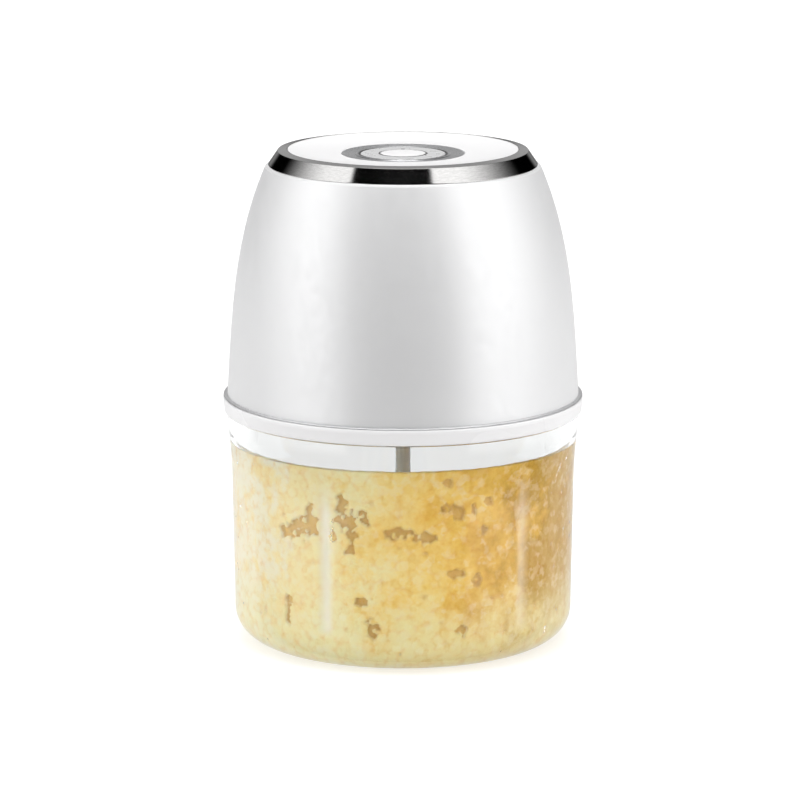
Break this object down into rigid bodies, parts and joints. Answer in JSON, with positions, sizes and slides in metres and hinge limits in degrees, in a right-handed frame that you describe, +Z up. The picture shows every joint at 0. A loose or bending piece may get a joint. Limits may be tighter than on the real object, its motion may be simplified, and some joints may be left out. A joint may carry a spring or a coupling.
{
  "type": "cordless mini food processor",
  "caption": "Cordless mini food processor: a clear ribbed bowl, a lid that carries a spinning stack of blades, and a white domed motor unit that lifts off, with a button on top.",
  "frame": {"origin": "centre of the bowl's underside, on the surface it stands on", "axes": "+Z up along the spindle; the front is -Y; the charging port faces +Y; +X is to the right seen from the front"},
  "size_m": [0.088, 0.088, 0.121],
  "materials": {
    "clear_bowl": "clear, polished",
    "steel": "bright, fine turned",
    "white_plastic": "gloss white",
    "silicone": "translucent pale, matt",
    "dark_plastic": "matt black",
    "grey_plastic": "satin grey",
    "bronze": "sintered bronze",
    "blade_steel": "fine ground, polished edge",
    "chrome_trim": "chrome, fine turned",
    "satin_aluminium": "spun, satin",
    "ferrite": "dull grey-black",
    "battery_sleeve": "shrink sleeve",
    "board_green": "solder mask",
    "red_sleeve": "insulated wire",
    "black_sleeve": "insulated wire",
    "lamination": "stacked plates",
    "copper": "enamelled copper",
    "silver_plastic": "silver, fine turned",
    "lens": "clear lens, dark when off",
    "silicone_cover": "matt pale grey"
  },
  "bodies": {
    "bowl": {"bowl": "clear_bowl", "pivot_pin": "steel"},
    "lid": {"lid": "white_plastic", "lid_gasket": "silicone", "lid_bush": "dark_plastic"},
    "blade_assembly": {"blade_hub": "grey_plastic", "hub_bush": "bronze", "drive_spindle": "steel", "spindle_clip": "steel", "lower_blade": "blade_steel", "middle_blade": "blade_steel", "upper_blade": "blade_steel"},
    "motor_unit": {"housing": "white_plastic", "seam_ring": "chrome_trim", "trim_ring": "chrome_trim", "top_plate": "white_plastic", "button_bezel": "satin_aluminium", "base_cover": "white_plastic", "base_screws": "steel", "motor_frame": "dark_plastic", "motor_can": "steel", "motor_end_cap": "white_plastic", "motor_magnets": "ferrite", "motor_bushes": "bronze", "motor_screws": "steel", "battery": "battery_sleeve", "battery_tabs": "steel", "circuit_board": "board_green", "board_components": "dark_plastic", "board_screws": "steel", "power_switch": "dark_plastic", "charge_socket": "steel", "interlock_switch": "dark_plastic", "leads_red": "red_sleeve", "leads_black": "black_sleeve", "button_spring": "steel", "interlock_spring": "steel", "cover_hinge_pin": "steel"},
    "rotor": {"motor_shaft": "steel", "motor_armature": "lamination", "armature_windings": "copper", "commutator": "copper", "drive_coupling": "grey_plastic"},
    "button": {"power_button": "silver_plastic", "button_cap": "white_plastic", "indicator_lens": "lens", "switch_plunger": "white_plastic"},
    "interlock": {"interlock_pin": "white_plastic"},
    "port_cover": {"port_cover": "silicone_cover"}
  },
  "joints": [
    {"name": "lid_lift", "type": "slide", "parent": "bowl", "child": "lid", "axis": [0, 0, 1], "range_m": [0, 0.065]},
    {"name": "blade_spin", "type": "hinge", "parent": "lid", "child": "blade_assembly", "pos_m": [0, 0, 0.03], "axis": [0, 0, 1], "continuous": true},
    {"name": "motor_lift", "type": "slide", "parent": "lid", "child": "motor_unit", "axis": [0, 0, 1], "range_m": [0, 0.05]},
    {"name": "motor_spin", "type": "hinge", "parent": "motor_unit", "child": "rotor", "pos_m": [0, 0, 0.085], "axis": [0, 0, 1], "continuous": true},
    {"name": "button_press", "type": "slide", "parent": "motor_unit", "child": "button", "axis": [0, 0, -1], "range_m": [0, 0.0008], "stiffness_N_per_m": 1500, "springref_m": -0.0008, "deforming": ["button_spring"]},
    {"name": "interlock_out", "type": "slide", "parent": "motor_unit", "child": "interlock", "axis": [0, 0, -1], "range_m": [0, 0.002], "deforming": ["interlock_spring"]},
    {"name": "port_cover_hinge", "type": "hinge", "parent": "motor_unit", "child": "port_cover", "pos_m": [0, 0.03512, 0.11041], "axis": [1, 0, 0], "range_deg": [0, 90]}
  ],
  "couplings": [
    {"joint": "motor_spin", "follows": "blade_spin", "ratio": 1},
    {"joint": "interlock_out", "follows": "motor_lift", "ratio": 0.04}
  ]
}
